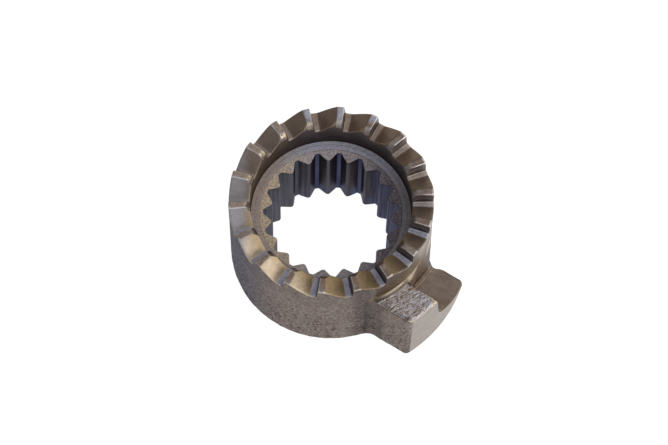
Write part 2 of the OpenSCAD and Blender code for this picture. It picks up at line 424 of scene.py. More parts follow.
def arm_points():
    """The lattice of points [across, up, along] whose six sides are the arm."""
    path, zones = top_path()
    side = side_path()
    share = side[:, 1] / side[-1, 1]
    bottom_n = lerp(path[:, 0], np.linspace(side[0, 0], FAR_N, len(path)), 0.6)
    n = lerp(bottom_n[:, None], path[:, :1], share[None, :])
    z = path[:, 1:] * share[None, :]
    n[0], z[0] = side[:, 0], side[:, 1]
    n[-1] = FAR_N
    into_hollow = smooth((HOLLOW_FROM_N - n) / (HOLLOW_FROM_N - NEAR_N))
    layers = []

    def place(radius, across, height):
        across = across + into_hollow * (hollow_n(radius) - NEAR_N)
        u = np.sqrt(np.maximum(radius ** 2 - across ** 2, 1))
        into_waist = smooth((across - WAIST_FROM_N) / 2.5)
        across = across + into_waist * (far_edge(u) - FAR_N)
        layers.append(np.stack([u, across, height], axis=-1))

    levels = root_levels(path, n)
    for radius, top, near_lift in levels:
        height = top * share[None, :]
        height[0] = side[:, 1] + near_lift * share ** 4
        place(radius, n, height)
    layers[0][..., 2] = np.maximum(layers[0][..., 2], ROOT_Z)
    inset, drop = end_corners(path[:, 0], side[:, 1])
    for t in np.linspace(0, 1, 30)[1:-1]:
        place(lerp(levels[-1][0], END_R - inset, t), n, z)
    near_from = -8
    near = np.clip((near_from - n) / (near_from - NEAR_N), 0, 1)
    far = np.clip((n - WAIST_FROM_N) / (FAR_N - WAIST_FROM_N), 0, 1)
    for a in np.radians(np.linspace(0, 90, 6)):
        pull = 1 - cos(a)
        height = z - drop[:, None] * pull * share[None, :] ** 3 + 0.3 * pull * (1 - share[None, :]) ** 8
        place(END_R - inset * (1 - sin(a)), n + (near - far) * CORNER_R * pull, height)
    return np.stack(layers, axis=2), zones


def lattice_shell(points, name_of):
    """Closed mesh over the six sides of a lattice. name_of(side, across, up) names each face's material."""
    count = points.shape[:3]
    on = np.zeros(count, bool)
    for axis in range(3):
        for end in (0, -1):
            at = [slice(None)] * 3
            at[axis] = end
            on[tuple(at)] = True
    index = np.full(count, -1)
    index[on] = np.arange(on.sum())
    shell = Shell()
    shell.add_points(points[on])
    sides = [
        ("near", index[0], 0), ("far", index[-1], 1),
        ("bottom", index[:, 0], 1), ("top", index[:, -1], 0),
        ("root", index[:, :, 0], 0), ("end", index[:, :, -1], 1),
    ]
    for side, grid, flip in sides:
        for i in range(grid.shape[0] - 1):
            for j in range(grid.shape[1] - 1):
                quad = (grid[i, j], grid[i + 1, j], grid[i + 1, j + 1], grid[i, j + 1])
                shell.add_face(quad[::-1] if flip else quad, name_of(side, i, j))
    return shell


def to_world(points):
    """From the arm's own u, n, z to the row frame."""
    a = radians(ARM_DEG)
    p = np.array(points)
    u, n = p[:, 0].copy(), p[:, 1].copy()
    p[:, 0] = u * cos(a) - n * sin(a)
    p[:, 1] = u * sin(a) + n * cos(a)
    return p.tolist()


def arm_shell():
    """The arm, with a zone for each of its sides."""
    points, zones = arm_points()

    def name_of(side, i, j):
        if side == "top":
            return zones[i]
        return {"near": "forged", "end": "turned_end", "bottom": "bottom"}.get(side, "milled")

    shell = lattice_shell(points, name_of)
    shell.points = to_world(shell.points)
    return shell


def web_shell():
    """The web beside the stop block that carries its root into the ring."""
    near_n, far_n, foot = -5.4, 1.4, 3.0
    end_r, bulge = 17.95, 0.75
    across = np.linspace(near_n, far_n, 26)
    up = np.linspace(foot, LEDGE_Z, 24)
    outer = end_r + bulge * smooth((0.9 - across) / 4.3)
    layers = [(np.full(len(across), r), 0.9) for r in (16.6, 17.4, 17.85)]
    rounding = [(0.0, 0.55), (0.15, 0.3), (0.35, 0.14), (0.6, 0.05), (0.8, 0.0), (0.95, -0.05), (1.0, -0.16)]
    layers += [(lerp(RIM_R - 0.02, outer, t), lift) for t, lift in rounding]
    stack = []
    for r, lift in layers:
        radius = np.tile(r[:, None], (1, len(up)))
        n = np.tile(across[:, None], (1, len(up)))
        z = np.tile(up[None, :], (len(across), 1))
        z[:, -1] += lift
        u = np.sqrt(radius ** 2 - n ** 2)
        stack.append(np.stack([u, n, z], axis=-1))
    shell = lattice_shell(np.stack(stack, axis=2), lambda side, i, j: "forged")
    shell.points = to_world(shell.points)
    return shell


# Relief of the skin, as depths in millimetres at a point in millimetres

def forged_relief(p):
    """Swells, lumps and pits of the forged skin, which fade out towards the turned rim."""
    swell = 0.035 * noise.noise(p / 4.2)
    lumps = 0.030 * noise.noise(p / 1.1) + 0.020 * noise.noise(p / 0.55)
    near = noise.voronoi(p / 0.66)[0][0]
    presence = smooth(0.5 + 1.6 * noise.noise(p / 2.4) + 0.25 * (1 - p.z / 12))
    pit = 0.075 * presence * max(0.0, 1 - near / 0.42)
    fade = lerp(0.18, 1.0, smooth((18.2 - p.z) / 3.6))
    return fade * (swell + lumps - pit - 0.035)


def block_relief(p):
    """Short wrinkles across the top of the stop block."""
    a = radians(ARM_DEG - WRINKLE_TURN)
    u, n = p.x * cos(a) + p.y * sin(a), p.y * cos(a) - p.x * sin(a)
    bend = 0.5 * noise.noise(Vector((u / 1.3, n / 1.3, 3.0)))
    ridge = noise.noise(Vector((u / 0.45 + bend, n / 1.1 - bend, 7.0)))
    dents = noise.noise(Vector((u / 1.1, n / 1.1, 11.0)))
    fade = smooth((p.xy.length - RIM_R - LEDGE_FILLET) / 0.5)
    return fade * (0.09 * ridge + 0.06 * dents - 0.07)


def worn_relief(p):
    """Small unevenness of a worn machined face."""
    return 0.016 * noise.noise(p / 1.4) - 0.004


RELIEF = dict.fromkeys(("milled", "crest", "valley", "back", "driving", "turned_end"), worn_relief)
RELIEF.update(forged=forged_relief, block=block_relief)


# Meshes

def make_object(shell, name, materials):
    """A Blender object from a shell, with one material slot for each name in materials."""
    mesh = bpy.data.meshes.new(name)
    mesh.from_pydata([tuple(c * MM for c in p) for p in shell.points], [], shell.faces)
    mesh.validate()
    for material in materials.values():
        mesh.materials.append(material)
    slots = {key: i for i, key in enumerate(materials)}
    mesh.polygons.foreach_set("material_index", [slots[x] for x in shell.names])
    piece = bpy.data.objects.new(name, mesh)
    bpy.context.scene.collection.objects.link(piece)
    return piece


def face_out(piece):
    """Turns all faces of a closed mesh outwards."""
    bm = bmesh.new()
    bm.from_mesh(piece.data)
    bmesh.ops.recalc_face_normals(bm, faces=bm.faces)
    bm.to_mesh(piece.data)
    bm.free()
    piece.data.update()


def unite(target, others):
    """Joins closed meshes into one, and deletes those that were added."""
    for other in others:
        modifier = target.modifiers.new("unite", "BOOLEAN")
        modifier.operation = "UNION"
        modifier.solver = "MANIFOLD"
        modifier.object = other
        graph = bpy.context.evaluated_depsgraph_get()
        joined = bpy.data.meshes.new_from_object(target.evaluated_get(graph))
        target.modifiers.clear()
        target.data = joined
        bpy.data.objects.remove(other)
        bpy.context.view_layer.update()


def split_cut_faces(piece):
    """Makes triangles of the many-sided faces along the cuts, so that none folds onto itself."""
    bm = bmesh.new()
    bm.from_mesh(piece.data)
    bmesh.ops.triangulate(bm, faces=[face for face in bm.faces if len(face.verts) > 4])
    bm.to_mesh(piece.data)
    bm.free()
    piece.data.update()


def read_vectors(items, field):
    values = np.empty(len(items) * 3)
    items.foreach_get(field, values)
    return values.reshape(-1, 3)


def corner_table(mesh):
    """For each face corner of the mesh: its vertex and the material of its face."""
    vertex = np.empty(len(mesh.loops), int)
    mesh.loops.foreach_get("vertex_index", vertex)
    size = np.empty(len(mesh.polygons), int)
    mesh.polygons.foreach_get("loop_total", size)
    material = np.empty(len(mesh.polygons), int)
    mesh.polygons.foreach_get("material_index", material)
    return vertex, np.repeat(material, size)


def add_relief(mesh, materials):
    """Moves the vertices of each zone in or out by its relief, and keeps them inside the CAD box."""
    points, normals = read_vectors(mesh.vertices, "co") / MM, read_vectors(mesh.vertices, "normal")
    vertex, material = corner_table(mesh)
    count = np.bincount(vertex, minlength=len(points))
    shift = np.zeros(len(points))
    for index, key in enumerate(materials):
        if key not in RELIEF:
            continue
        share = np.bincount(vertex[material == index], minlength=len(points)) / count
        for i in np.nonzero(share)[0]:
            shift[i] += share[i] * RELIEF[key](Vector(points[i]))
    low, high = np.array(cad_box) / MM
    moved = np.clip(points + shift[:, None] * normals, low, high)
    mesh.vertices.foreach_set("co", (moved * MM).ravel())
    mesh.update()


def curvature(mesh):
    """How much the surface bends at each vertex, per millimetre: above 0 on edges, below in hollows."""
    points, normals = read_vectors(mesh.vertices, "co") / MM, read_vectors(mesh.vertices, "normal")
    edges = np.empty(len(mesh.edges) * 2, int)
    mesh.edges.foreach_get("vertices", edges)
    a, b = edges.reshape(-1, 2).T
    span = points[b] - points[a]
    bend = ((normals[b] - normals[a]) * span).sum(1) / ((span ** 2).sum(1) + 1e-6)
    count = np.bincount(a, minlength=len(points)) + np.bincount(b, minlength=len(points))

    def spread(values):
        total = np.bincount(a, values[0], len(points)) + np.bincount(b, values[1], len(points))
        return total / count

    def soften(values, turns):
        for _ in range(turns):
            values = 0.5 * values + 0.5 * spread((values[b], values[a]))
        return values

    sharp = spread((bend, bend))
    return sharp, soften(np.clip(sharp, -2, 2), 24)


def store(mesh, name, values):
    attribute = mesh.attributes.new(name, "FLOAT", "POINT")
    attribute.data.foreach_set("value", np.asarray(values, np.float32))


# Materials

ARM_DIRECTION = (cos(radians(ARM_DEG)), sin(radians(ARM_DEG)), 0)
ACROSS_ARM = (-sin(radians(ARM_DEG)), cos(radians(ARM_DEG)), 0)


def rgb(red, green, blue):
    """Linear colour from the 0 to 255 values that a picture shows."""
    def one(value):
        share = value / 255
        return share / 12.92 if share <= 0.04045 else ((share + 0.055) / 1.055) ** 2.4
    return (one(red), one(green), one(blue), 1.0)


class Graph:
    """A tree of shader nodes, built by calls."""

    def __init__(self, tree):
        self.tree = tree

    def put(self, socket, value):
        if isinstance(value, bpy.types.NodeSocket):
            self.tree.links.new(value, socket)
        else:
            socket.default_value = value

    def node(self, kind, inputs=None, **settings):
        """A new node with those settings, and a value or a link in each of those inputs."""
        node = self.tree.nodes.new("ShaderNode" + kind)
        for name, value in settings.items():
            setattr(node, name, value)
        for name, value in (inputs or {}).items():
            self.put(node.inputs[name], value)
        return node

    def vector(self, operation, *inputs):
        node = self.node("VectorMath", dict(enumerate(inputs)), operation=operation)
        return node.outputs["Value" if operation in ("DOT_PRODUCT", "LENGTH") else "Vector"]

    def scaled(self, vector, factor):
        return self.node("VectorMath", {0: vector, "Scale": factor}, operation="SCALE").outputs["Vector"]

    def math(self, operation, a, b=0.0):
        return self.node("Math", {0: a, 1: b}, operation=operation).outputs["Value"]

    def less(self, a, b):
        return self.math("SUBTRACT", a, b)

    def times(self, *factors):
        product = factors[0]
        for factor in factors[1:]:
            product = self.math("MULTIPLY", product, factor)
        return product

    def step(self, value, low, high, start=0.0, end=1.0):
        """A soft step from start to end as the value goes from low to high."""
        inputs = {"Value": value, "From Min": low, "From Max": high, "To Min": start, "To Max": end}
        return self.node("MapRange", inputs, interpolation_type="SMOOTHSTEP").outputs["Result"]

    def mix(self, share, a, b):
        return self.node("Mix", {"Factor": share, "A": a, "B": b}, data_type="RGBA").outputs["Result"]

    def mix_number(self, share, a, b):
        return self.node("Mix", {"Factor": share, "A": a, "B": b}).outputs["Result"]


class Paint(Graph):
    """Nodes of one material, with positions in millimetres in the part's own frame."""

    def __init__(self, name, metallic):
        self.material = bpy.data.materials.new(name)
        self.material.use_nodes = True
        super().__init__(self.material.node_tree)
        self.shader = self.tree.nodes["Principled BSDF"]
        self.shader.inputs["Metallic"].default_value = metallic
        self.place = self.scaled(self.node("TexCoord").outputs["Object"], 1 / MM)

    def noise(self, per_mm, detail=2.0, stretch=(1, 1, 1), turn=0.0, distortion=0.0):
        """Noise of about that many bumps a millimetre, stretched in a frame turned round Z."""
        inputs = {"Vector": self.place, "Rotation": (0, 0, radians(turn)), "Scale": stretch}
        place = self.node("Mapping", inputs, vector_type="TEXTURE").outputs["Vector"]
        bumps = {"Scale": per_mm, "Detail": detail, "Roughness": 0.6, "Distortion": distortion}
        return self.node("TexNoise", {"Vector": place, **bumps}).outputs["Fac"]

    def uneven(self, per_mm, detail, low, high):
        """Numbers from low to high that vary as noise does."""
        return self.step(self.noise(per_mm, detail), 0.3, 0.7, low, high)

    def cells(self, per_mm, wander):
        """Distance to the nearest of scattered points, in cells bent by that many millimetres."""
        bend = self.node("TexNoise", {"Vector": self.place, "Scale": 2.2}).outputs["Color"]
        shift = self.scaled(self.vector("SUBTRACT", bend, (0.5, 0.5, 0.5)), 2 * wander)
        inputs = {"Vector": self.vector("ADD", self.place, shift), "Scale": per_mm}
        return self.node("TexVoronoi", inputs).outputs["Distance"]

    def axis(self, name):
        return self.node("SeparateXYZ", {0: self.place}).outputs[name]

    def fade(self, name, low, high, start=0.0, end=1.0):
        """A soft step along the X, Y or Z axis."""
        return self.step(self.axis(name), low, high, start, end)

    def along(self, direction):
        """How far a point lies along a direction."""
        return self.vector("DOT_PRODUCT", self.place, direction)

    def radius(self, centre=(0, 0, 0)):
        """Distance from the part's own axis, or from another upright line."""
        offset = self.vector("SUBTRACT", self.place, centre)
        return self.vector("LENGTH", self.vector("MULTIPLY", offset, (1, 1, 0)))

    def rings(self, value, per_mm):
        """Fine lines that follow a length, such as the radius or the height."""
        inputs = {"W": value, "Scale": per_mm, "Detail": 3}
        return self.node("TexNoise", inputs, noise_dimensions="1D").outputs["Fac"]

    def break_highlight(self):
        """A painted highlight line along the break between the crest and the back of each tooth, at the
        left.
        """
        angle = self.times(self.math("ARCTAN2", self.axis("Y"), self.axis("X")), 180 / pi)
        turn = self.math("DIVIDE", self.less(angle, TOOTH_START), PITCH)
        phase = self.times(self.math("FRACT", turn), PITCH)
        line = self.step(self.math("ABSOLUTE", self.less(phase, CREST_DEG)), 0.45, 0.15)
        patchy = self.step(self.noise(0.9, 3), 0.3, 0.55, 0.35, 1.0)
        return self.times(line, patchy, self.fade("X", -4.0, -11.0), self.fade("Y", -7.0, -2.0))

    def mask(self, name):
        return self.node("Attribute", attribute_name=name).outputs["Fac"]

    def clouds(self, per_mm, a, b):
        """Two colours that run into each other as noise does."""
        return self.mix(self.noise(per_mm, 3), a, b)

    def shade(self, colour, factor):
        """The colour times a number."""
        grey = self.node("CombineColor", {"Red": factor, "Green": factor, "Blue": factor}).outputs["Color"]
        inputs = {"Factor": 1, "A": colour, "B": grey}
        return self.node("Mix", inputs, data_type="RGBA", blend_type="MULTIPLY").outputs["Result"]

    def mottle(self, colour, per_mm, detail, dark, light):
        """The colour, darker and lighter in spots."""
        return self.shade(colour, self.uneven(per_mm, detail, dark, light))

    def worn(self, colour, bright, low=0.35, high=1.3):
        """Bare bright metal in patches along the edges."""
        patchy = self.step(self.noise(1.1, 3), 0.32, 0.62)
        edge = self.times(self.step(self.mask("edge"), low, high), patchy)
        return self.mix(edge, colour, bright)

    def shade_and_grime(self, colour, unshaded=0.0):
        """Painted shade, with some grime, that darkens the hollows, apart from the share kept clear of it.
        """
        shade_and_dirt = self.step(self.mask("hollow"), -0.08, -0.42, 0.0, 0.7)
        return self.mix(self.times(shade_and_dirt, self.less(1.0, unshaded)), colour, rgb(50, 41, 37))

    def finish(self, colour, roughness, height=None, depth=0.0):
        """Links the colour, the roughness and a bump of that depth in millimetres."""
        self.put(self.shader.inputs["Base Color"], colour)
        self.put(self.shader.inputs["Roughness"], roughness)
        if height is not None:
            bump = self.node("Bump", {"Distance": depth * MM, "Height": height})
            self.put(self.shader.inputs["Normal"], bump.outputs["Normal"])
        return self.material

    def grained(self, colour, roughness):
        """Finish of a machined face, with a fine grain."""
        return self.finish(colour, roughness, self.noise(4, 4), 0.012)


def skin_zones(paint):
    """Shares of the zones over the arm, beside the block, at the ledge's lip, right and beside the web."""
    along, across, height = paint.along(ARM_DIRECTION), paint.along(ACROSS_ARM), paint.axis("Z")
    past_root = paint.step(along, 13.5, 16.0)
    over_arm = paint.times(past_root, paint.step(height, 14.2, 15.0))
    beside_block = paint.times(paint.step(along, 8.0, 17.0), paint.step(across, -11.5, -7.5),
                               paint.step(height, 12.5, 15.0), paint.step(height, 19.0, 16.0, 0.3, 1.0))
    lip = paint.times(past_root, paint.step(across, -5.7, -5.3), paint.step(height, 13.7, 14.1),
                      paint.step(paint.radius(), RIM_R + 0.02, RIM_R + 0.14))
    right_wall = paint.times(paint.step(along, 14.6, 16.2), paint.step(across, -6.0, -4.4))
    beside_web = paint.times(right_wall, paint.step(across, 6.0, 2.0),
                             paint.step(height, 15.6, 12.6, 0.0, 0.9))
    return over_arm, beside_block, lip, right_wall, beside_web


def skin_colour(paint, beside_block, lip, beside_web):
    """Grey-brown, darker and bluer at the left in painted shade, with a painted highlight at the right,
    browner beside the block, browner in painted shade beside the web, and a painted highlight on the lip.
    """
    base = paint.clouds(0.3, rgb(120, 105, 97), rgb(148, 138, 130))
    # Painted shade: the left side is darker and bluer, as under a cool fill light.
    base = paint.mix(paint.fade("X", -8.0, -17.0, 0.0, 0.85), base, rgb(78, 79, 93))
    # Painted highlight: the upper right side is near white, as it catches the light.
    highlight_side = paint.times(paint.fade("X", 13.0, 17.8, 0.0, 0.9), paint.fade("Z", 8.0, 12.5))
    base = paint.mix(highlight_side, base, rgb(222, 217, 211))
    to_block = paint.step(paint.along(ACROSS_ARM), -4.5, -8.0)
    base = paint.mix(beside_block, base, paint.mix(to_block, rgb(155, 137, 108), rgb(126, 105, 78)))
    # Painted shade: browner and darker on the web and the wall beside it.
    base = paint.mix(beside_web, base, rgb(124, 101, 81))
    base = paint.mottle(base, 2.2, 4, 0.70, 1.32)
    base = paint.shade(base, paint.fade("Z", 14.0, 18.0, 1.0, 0.86))
    # Painted highlight along the ledge's lip.
    return paint.mix(lip, base, paint.clouds(1.3, rgb(184, 168, 140), rgb(232, 220, 190)))


def skin_pits(paint):
    """Share of small dark pits, with more of them low down."""
    presence = paint.step(paint.noise(0.6, 2), 0.36, 0.56, 0.5, 0.95)
    pits = paint.step(paint.cells(1.5, 0.8), 0.46, 0.23)
    return paint.times(pits, presence, paint.fade("Z", 16.5, 4.0, 0.4, 1.0))


def forged_skin():
    """Scaled grey-brown skin, pitted most near the foot and smooth under the teeth and over the arm."""
    paint = Paint("forged_skin", 0.7)
    paint.shader.inputs["Specular Tint"].default_value = (0.5, 0.5, 0.56, 1)
    over_arm, beside_block, lip, right_wall, beside_web = skin_zones(paint)
    calm = paint.math("MAXIMUM", over_arm, right_wall)
    rough = paint.times(paint.fade("Z", 18.4, 13.0, 0.25, 1.0), paint.less(1.0, calm))
    base = skin_colour(paint, beside_block, lip, beside_web)
    pits = paint.times(skin_pits(paint), rough)
    base = paint.mix(pits, base, rgb(52, 32, 28))
    specks = paint.step(paint.noise(2.4, 4), 0.56, 0.72, 0.0, 0.4)
    base = paint.mix(paint.times(specks, rough), base, rgb(184, 176, 170))
    # Painted shade and grime in the hollows, except over the arm.
    base = paint.shade_and_grime(paint.worn(base, rgb(158, 144, 126), 0.6, 1.8), over_arm)
    # Painted shadow: darker in the side hollow where the arm runs into the ring.
    from_hollow = paint.radius(to_world([(*SIDE_HOLLOW_AXIS, 0)])[0])
    hollow_shade = paint.step(from_hollow, SIDE_HOLLOW + 0.8, SIDE_HOLLOW, 0.0, 0.45)
    base = paint.mix(hollow_shade, base, rgb(58, 50, 48))
    # Painted contact shadow: darker along the foot of the skirt.
    base = paint.mix(paint.fade("Z", 0.75, 0.1, 0.0, 0.7), base, rgb(50, 42, 40))
    roughness = paint.mix_number(over_arm, paint.uneven(1.5, 3, 0.5, 0.7), 0.36)
    relief = paint.times(paint.less(paint.noise(2.4, 4), pits), rough)
    # The lip is less metallic, so that its painted highlight shows lighter.
    paint.put(paint.shader.inputs["Metallic"], paint.mix_number(lip, 0.7, 0.35))
    return paint.finish(base, roughness, relief, 0.09)


def forged_top():
    """Bright wrinkled top of the stop block, with dark grooves and golden worn edges."""
    paint = Paint("forged_top", 1.0)
    wrinkle = paint.noise(1.3, 3, stretch=(0.36, 1.0, 1), turn=ARM_DEG - WRINKLE_TURN, distortion=0.7)
    ridges = paint.step(wrinkle, 0.38, 0.62)
    bright = paint.clouds(0.9, rgb(206, 194, 182), rgb(214, 220, 234))
    base = paint.mix(ridges, rgb(154, 137, 126), bright)
    radius = paint.radius()
    gold = paint.worn(base, rgb(238, 218, 176), 0.4, 1.5)
    base = paint.mix(paint.step(radius, 23.4, 24.0), base, gold)
    fillet = paint.step(radius, RIM_R + LEDGE_FILLET + 0.35, RIM_R + LEDGE_FILLET - 0.05)
    across = paint.along(ACROSS_ARM)
    # Painted highlight: the fillet at the ring is lighter.
    base = paint.mix(fillet, base, paint.clouds(1.3, rgb(150, 137, 116), rgb(200, 188, 166)))
    base = paint.mix(paint.times(fillet, paint.step(across, -7.2, -9.6)), base, rgb(92, 80, 66))
    base = paint.mix(paint.step(radius, RIM_R + 0.22, RIM_R + 0.06), base, rgb(104, 88, 64))
    relief = paint.times(wrinkle, paint.less(1.0, fillet))
    # The fillet is less metallic, so that its painted highlight shows lighter.
    paint.put(paint.shader.inputs["Metallic"], paint.mix_number(fillet, 1.0, 0.45))
    return paint.finish(base, paint.step(wrinkle, 0.3, 0.7, 0.24, 0.38), relief, 0.2)


def milled_ramp():
    """Smooth brown ramp and stop face."""
    paint = Paint("milled_ramp", 1.0)
    base = paint.mix(paint.step(paint.noise(0.35, 3), 0.35, 0.65), rgb(126, 108, 94), rgb(142, 128, 115))
    base = paint.mottle(base, 2.4, 4, 0.88, 1.12)
    across = paint.along(ACROSS_ARM)
    lip_line = paint.less(LIP_U, paint.times(across, across, LIP_BEND))
    past_lip = paint.less(paint.along(ARM_DIRECTION), lip_line)
    base = paint.mix(paint.step(past_lip, 0.1, -0.1), base, rgb(104, 88, 74))
    base = paint.worn(base, rgb(124, 107, 86), 0.2, 0.8)
    for lip in (0.0, -LIP_GAP):
        off = paint.math("ABSOLUTE", paint.less(past_lip, lip))
        base = paint.mix(paint.step(off, 0.13, 0.03, 0.0, 0.5), base, rgb(184, 162, 130))
    return paint.grained(base, paint.uneven(1.2, 3, 0.42, 0.56))


def turned_end():
    """Pale turned end of the arm, with fine lines round the axis."""
    paint = Paint("turned_end", 1.0)
    lines = paint.rings(paint.axis("Z"), 3.0)
    base = paint.clouds(0.4, rgb(147, 138, 129), rgb(170, 163, 156))
    base = paint.shade(base, paint.step(lines, 0.3, 0.7, 0.84, 1.14))
    base = paint.mottle(base, 2.0, 3, 0.92, 1.08)
    # Painted shade and grime in the hollows of the end.
    base = paint.shade_and_grime(paint.worn(base, rgb(215, 205, 190), 0.3, 1.2))
    return paint.finish(base, 0.5, lines, 0.02)


def tooth_crest():
    """Brown-grey crests, bright on their worn edges, with painted highlights on their sharp and outer edges,
    at their inner ends and along the break at the left.
    """
    paint = Paint("tooth_crests", 1.0)
    film = paint.step(paint.noise(0.6, 3), 0.38, 0.62)
    base = paint.mix(film, rgb(150, 130, 116), rgb(168, 154, 146))
    upper_left = paint.step(paint.along((-0.85, 0.53, 0)), 9.0, 14.0, 0.0, 0.8)
    base = paint.mix(upper_left, base, rgb(194, 178, 162))
    silver = paint.fade("Y", 14.4, 16.0)
    base = paint.mix(silver, base, rgb(208, 210, 222))
    base = paint.mottle(base, 2.6, 4, 0.76, 1.2)
    left = paint.fade("X", 2.0, -9.0)
    # Painted highlight at the inner ends of the crests, on the back half.
    inner = paint.times(paint.step(paint.radius(), RECESS_R + 1.2, RECESS_R + 0.8, 0.0, 0.85),
                       paint.fade("Y", -5.0, -0.5))
    speckled = paint.clouds(1.8, rgb(196, 187, 176), rgb(246, 245, 246))
    golden = paint.mix(paint.step(paint.noise(1.8, 3), 0.4, 0.6), rgb(150, 128, 102), rgb(236, 218, 184))
    base = paint.mix(inner, base, paint.mix(left, speckled, golden))
    base = paint.worn(base, rgb(226, 220, 210), paint.mix_number(left, 0.6, 0.3), 1.5)
    # Painted highlight: near white on the sharp and outer edges, away from the left.
    sharp = paint.step(paint.mask("edge"), 1.8, 2.8)
    outer = paint.step(paint.radius(), RIM_R - 0.4, RIM_R - 0.2)
    outer = paint.times(outer, paint.step(paint.noise(0.8, 3), 0.42, 0.56))
    edge_highlight = paint.times(paint.math("MAXIMUM", sharp, outer), paint.step(left, 0.0, 1.0, 1.0, 0.0))
    base = paint.mix(edge_highlight, base, rgb(255, 252, 246))
    # Painted highlight along the break at the left.
    base = paint.mix(paint.break_highlight(), base, rgb(244, 244, 250))
    return paint.grained(base, paint.uneven(1.2, 3, 0.34, 0.48))


def tooth_valley():
    """Valleys, blue-grey at the front and tan at the back."""
    paint = Paint("tooth_valleys", 1.0)
    front = paint.fade("Y", 6.0, -8.0)
    base = paint.mix(front, rgb(172, 156, 143), rgb(164, 166, 182))
    right = paint.mix(paint.fade("Y", 3.0, -3.5), rgb(214, 202, 190), rgb(206, 208, 220))
    base = paint.mix(paint.fade("X", 9.0, 15.0), base, right)
    base = paint.mottle(base, 1.6, 4, 0.82, 1.16)
    base = paint.worn(base, rgb(222, 214, 200))
    return paint.grained(base, paint.uneven(1.2, 3, 0.34, 0.48))


def tooth_back():
    """Sloping backs of the teeth, golden, with painted light and shade that tints each by the way it faces:
    paler at the front left, darker and browner at the right and back, and blue-grey at the left.
    """
    paint = Paint("tooth_backs", 0.7)
    base = paint.clouds(0.6, rgb(178, 151, 108), rgb(190, 168, 130))
    front_right, front_left = (0.75, -0.66, 0), (-0.66, -0.75, 0)
    upper_left, upper_right, right = (-0.75, 0.66, 0), (0.4, 0.92, 0), (1.0, -0.15, 0)
    # Painted light and shade: each back is made lighter or darker by the way it faces the light.
    for direction, low, high, share, tint in (
            (front_right, 10.0, 16.0, 1.0, rgb(162, 140, 107)),
            (front_left, 12.5, 17.0, 1.0, rgb(216, 197, 168)),
            (upper_left, 7.0, 13.0, 1.0, rgb(165, 148, 134)),
            (upper_right, 7.0, 14.0, 0.85, rgb(148, 125, 107)),
            (right, 12.5, 15.5, 0.9, rgb(138, 120, 104)),
            ((-1.0, -0.05, 0), 13.8, 16.2, 1.0, paint.clouds(0.6, rgb(168, 164, 166), rgb(194, 189, 189)))):
        base = paint.mix(paint.step(paint.along(direction), low, high, 0.0, share), base, tint)
    base = paint.mottle(base, 2.0, 4, 0.88, 1.1)
    base = paint.worn(base, rgb(214, 198, 168), 1.2, 3.0)
    # Painted highlight along the break at the left.
    base = paint.mix(paint.break_highlight(), base, rgb(244, 244, 250))
    return paint.grained(base, paint.uneven(1.0, 3, 0.42, 0.52))


def tooth_driving():
    """Upright driving faces, dark with oil."""
    paint = Paint("tooth_driving", 1.0)
    base = paint.clouds(0.9, rgb(104, 94, 94), rgb(130, 122, 122))
    # Painted shade and grime in the hollows between the teeth.
    base = paint.shade_and_grime(paint.worn(base, rgb(222, 214, 200)))
    return paint.grained(base, 0.4)


def recess_wall():
    """Dark turned wall of the recess, browner at the left."""
    paint = Paint("recess_wall", 1.0)
    lines = paint.rings(paint.axis("Z"), 4.0)
    base = paint.mix(paint.fade("X", -4.0, -13.0), rgb(104, 89, 86), rgb(122, 96, 68))
    # Painted shade: darker towards the top under the teeth, lighter at the foot.
    base = paint.shade(base, paint.fade("Z", FLOOR_Z + 0.4, FLOOR_Z + 2.6, 1.15, 0.6))
    base = paint.shade(base, paint.step(lines, 0.3, 0.7, 0.8, 1.2))
    # Painted shade and grime in the hollows of the recess wall.
    base = paint.shade_and_grime(paint.worn(base, rgb(200, 180, 140), 0.6, 1.5))
    return paint.finish(base, 0.42, lines, 0.015)


def recess_floor():
    """Grey turned floor of the recess, with fine rings."""
    paint = Paint("recess_floor", 0.25)
    lines = paint.rings(paint.radius(), 3.6)
    base = paint.clouds(0.4, rgb(172, 166, 168), rgb(190, 188, 196))
    # Painted light and shade: darker at the right in the rim's shadow, lighter and bluer at the back, warmer
    # at the left.
    base = paint.mix(paint.fade("X", 2.0, 12.0, 0.0, 0.8), base, rgb(146, 142, 148))
    base = paint.mix(paint.fade("Y", 3.0, 12.0, 0.0, 0.9), base, rgb(204, 206, 220))
    base = paint.mix(paint.fade("X", -3.0, -12.0, 0.0, 0.8), base, rgb(192, 174, 160))
    base = paint.shade(base, paint.step(lines, 0.3, 0.7, 0.78, 1.2))
    base = paint.mottle(base, 3.0, 4, 0.78, 1.2)
    return paint.finish(base, 0.55, lines, 0.03)


def lead_cone():
    """Sandy rough cone above the spline."""
    paint = Paint("lead_cone", 0.25)
    # Painted light and shade: lighter and warmer at the left, darker at the right, as the key light falls.
    side = paint.fade("X", -2.0, -11.0)
    base = paint.mix(side, rgb(180, 172, 174), rgb(202, 184, 158))
    base = paint.mix(paint.fade("X", 3.0, 11.0, 0.0, 0.9), base, rgb(110, 102, 108))
    at_step = paint.step(paint.radius(), FLOOR_R - 0.22, FLOOR_R - 0.08, 0.0, 0.55)
    base = paint.mix(at_step, base, rgb(100, 76, 66))
    grain = paint.noise(2.8, 4)
    base = paint.shade(base, paint.step(grain, 0.3, 0.7, 0.6, 1.34))
    base = paint.mix(paint.step(paint.noise(3.4, 2), 0.62, 0.68, 0.0, 0.7), base, rgb(226, 220, 214))
    return paint.finish(base, paint.step(grain, 0.3, 0.7, 0.45, 0.65), grain, 0.05)


